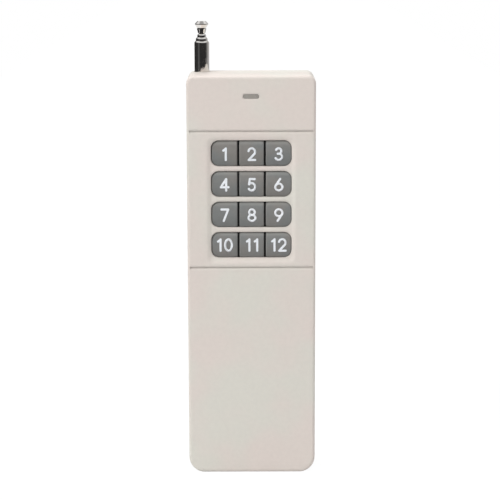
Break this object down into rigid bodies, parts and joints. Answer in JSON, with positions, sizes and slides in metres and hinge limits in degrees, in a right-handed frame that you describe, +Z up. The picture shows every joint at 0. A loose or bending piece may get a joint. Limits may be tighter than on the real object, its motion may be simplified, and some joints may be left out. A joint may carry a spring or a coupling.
{
  "type": "wireless remote transmitter",
  "caption": "Slim hand-held wireless transmitter with numbered grey push keys in a recessed keypad, a telescopic antenna, an indicator and a rear battery door.",
  "frame": {"origin": "centre of the flat foot face, on which the casing can stand upright", "axes": "+Z up the casing's length towards the antenna, -Y out of the face with the keys, +X to the right seen from the front"},
  "size_m": [0.0426, 0.024, 0.1514],
  "materials": {
    "casing": "warm ivory-grey ABS with a fine moulded texture",
    "key_caps": "mid-grey ABS, satin, with white printed numerals",
    "black_plastic": "black ABS, matt",
    "numeral_ink": "white pad-printing ink",
    "lens": "smoky translucent plastic",
    "lamp": "red-tinted epoxy",
    "board": "green solder mask on glass-fibre board",
    "tinned": "tinned sheet and wire",
    "dome_steel": "thin spring steel",
    "chip_resin": "black moulding resin",
    "can_metal": "nickel-plated can",
    "coil_green": "green lacquer over the winding",
    "capacitor_sleeve": "dark blue shrink sleeve",
    "resistor_lacquer": "beige lacquer",
    "ceramic_orange": "dipped orange-brown coating",
    "battery_jacket": "plain dark printed steel jacket",
    "contact_metal": "nickel-plated contacts",
    "red_wire": "red wire insulation",
    "black_wire": "black wire insulation",
    "foam": "black closed-cell foam",
    "antenna_bright": "bright nickel-plated brass",
    "brass": "turned and stamped brass",
    "screw_steel": "zinc-plated steel"
  },
  "bodies": {
    "root": {"front_shell": "casing", "rear_shell": "casing", "case_screws": "screw_steel", "board_screws": "screw_steel", "key_frame": "black_plastic", "indicator_lens": "lens", "indicator_lamp": "lamp", "main_board": "board", "switch_bodies": "black_plastic", "switch_covers": "tinned", "switch_domes": "dome_steel", "encoder_chip": "chip_resin", "encoder_pins": "tinned", "resonator_can": "can_metal", "rf_transistor": "chip_resin", "tuning_coil": "coil_green", "supply_capacitor": "capacitor_sleeve", "resistors": "resistor_lacquer", "ceramic_capacitors": "ceramic_orange", "battery": "battery_jacket", "battery_terminals": "contact_metal", "battery_snap": "black_plastic", "snap_contacts": "contact_metal", "battery_lead_red": "red_wire", "battery_lead_black": "black_wire", "antenna_tube_1": "antenna_bright", "antenna_foot": "brass", "antenna_bracket": "brass", "antenna_screw": "screw_steel"},
    "door": {"battery_door": "casing", "door_pad": "foam"},
    "key_01": {"key_01": "key_caps", "plunger_01": "black_plastic"},
    "key_02": {"key_02": "key_caps", "plunger_02": "black_plastic"},
    "key_03": {"key_03": "key_caps", "plunger_03": "black_plastic"},
    "key_04": {"key_04": "key_caps", "plunger_04": "black_plastic"},
    "key_05": {"key_05": "key_caps", "plunger_05": "black_plastic"},
    "key_06": {"key_06": "key_caps", "plunger_06": "black_plastic"},
    "key_07": {"key_07": "key_caps", "plunger_07": "black_plastic"},
    "key_08": {"key_08": "key_caps", "plunger_08": "black_plastic"},
    "key_09": {"key_09": "key_caps", "plunger_09": "black_plastic"},
    "key_10": {"key_10": "key_caps", "plunger_10": "black_plastic"},
    "key_11": {"key_11": "key_caps", "plunger_11": "black_plastic"},
    "key_12": {"key_12": "key_caps", "plunger_12": "black_plastic"},
    "tube_2": {"antenna_tube_2": "antenna_bright"},
    "tube_3": {"antenna_tube_3": "antenna_bright"},
    "tip": {"antenna_tip": "antenna_bright"}
  },
  "joints": [
    {"name": "key_01_press", "type": "slide", "parent": "root", "child": "key_01", "axis": [0, 1, 0], "range_m": [0, 0.0004], "stiffness_N_per_m": 400, "springref_m": -0.002},
    {"name": "key_02_press", "type": "slide", "parent": "root", "child": "key_02", "axis": [0, 1, 0], "range_m": [0, 0.0004], "stiffness_N_per_m": 400, "springref_m": -0.002},
    {"name": "key_03_press", "type": "slide", "parent": "root", "child": "key_03", "axis": [0, 1, 0], "range_m": [0, 0.0004], "stiffness_N_per_m": 400, "springref_m": -0.002},
    {"name": "key_04_press", "type": "slide", "parent": "root", "child": "key_04", "axis": [0, 1, 0], "range_m": [0, 0.0004], "stiffness_N_per_m": 400, "springref_m": -0.002},
    {"name": "key_05_press", "type": "slide", "parent": "root", "child": "key_05", "axis": [0, 1, 0], "range_m": [0, 0.0004], "stiffness_N_per_m": 400, "springref_m": -0.002},
    {"name": "key_06_press", "type": "slide", "parent": "root", "child": "key_06", "axis": [0, 1, 0], "range_m": [0, 0.0004], "stiffness_N_per_m": 400, "springref_m": -0.002},
    {"name": "key_07_press", "type": "slide", "parent": "root", "child": "key_07", "axis": [0, 1, 0], "range_m": [0, 0.0004], "stiffness_N_per_m": 400, "springref_m": -0.002},
    {"name": "key_08_press", "type": "slide", "parent": "root", "child": "key_08", "axis": [0, 1, 0], "range_m": [0, 0.0004], "stiffness_N_per_m": 400, "springref_m": -0.002},
    {"name": "key_09_press", "type": "slide", "parent": "root", "child": "key_09", "axis": [0, 1, 0], "range_m": [0, 0.0004], "stiffness_N_per_m": 400, "springref_m": -0.002},
    {"name": "key_10_press", "type": "slide", "parent": "root", "child": "key_10", "axis": [0, 1, 0], "range_m": [0, 0.0004], "stiffness_N_per_m": 400, "springref_m": -0.002},
    {"name": "key_11_press", "type": "slide", "parent": "root", "child": "key_11", "axis": [0, 1, 0], "range_m": [0, 0.0004], "stiffness_N_per_m": 400, "springref_m": -0.002},
    {"name": "key_12_press", "type": "slide", "parent": "root", "child": "key_12", "axis": [0, 1, 0], "range_m": [0, 0.0004], "stiffness_N_per_m": 400, "springref_m": -0.002},
    {"name": "door_open", "type": "hinge", "parent": "root", "child": "door", "pos_m": [0, 0.0108, 0.0049], "axis": [-1, 0, 0], "range_deg": [0, 80]},
    {"name": "tube_2_slide", "type": "slide", "parent": "root", "child": "tube_2", "axis": [0, 0, 1], "range_m": [0, 0.062]},
    {"name": "tube_3_slide", "type": "slide", "parent": "tube_2", "child": "tube_3", "axis": [0, 0, 1], "range_m": [0, 0.062]},
    {"name": "tip_slide", "type": "slide", "parent": "tube_3", "child": "tip", "axis": [0, 0, 1], "range_m": [0, 0.062]}
  ]
}
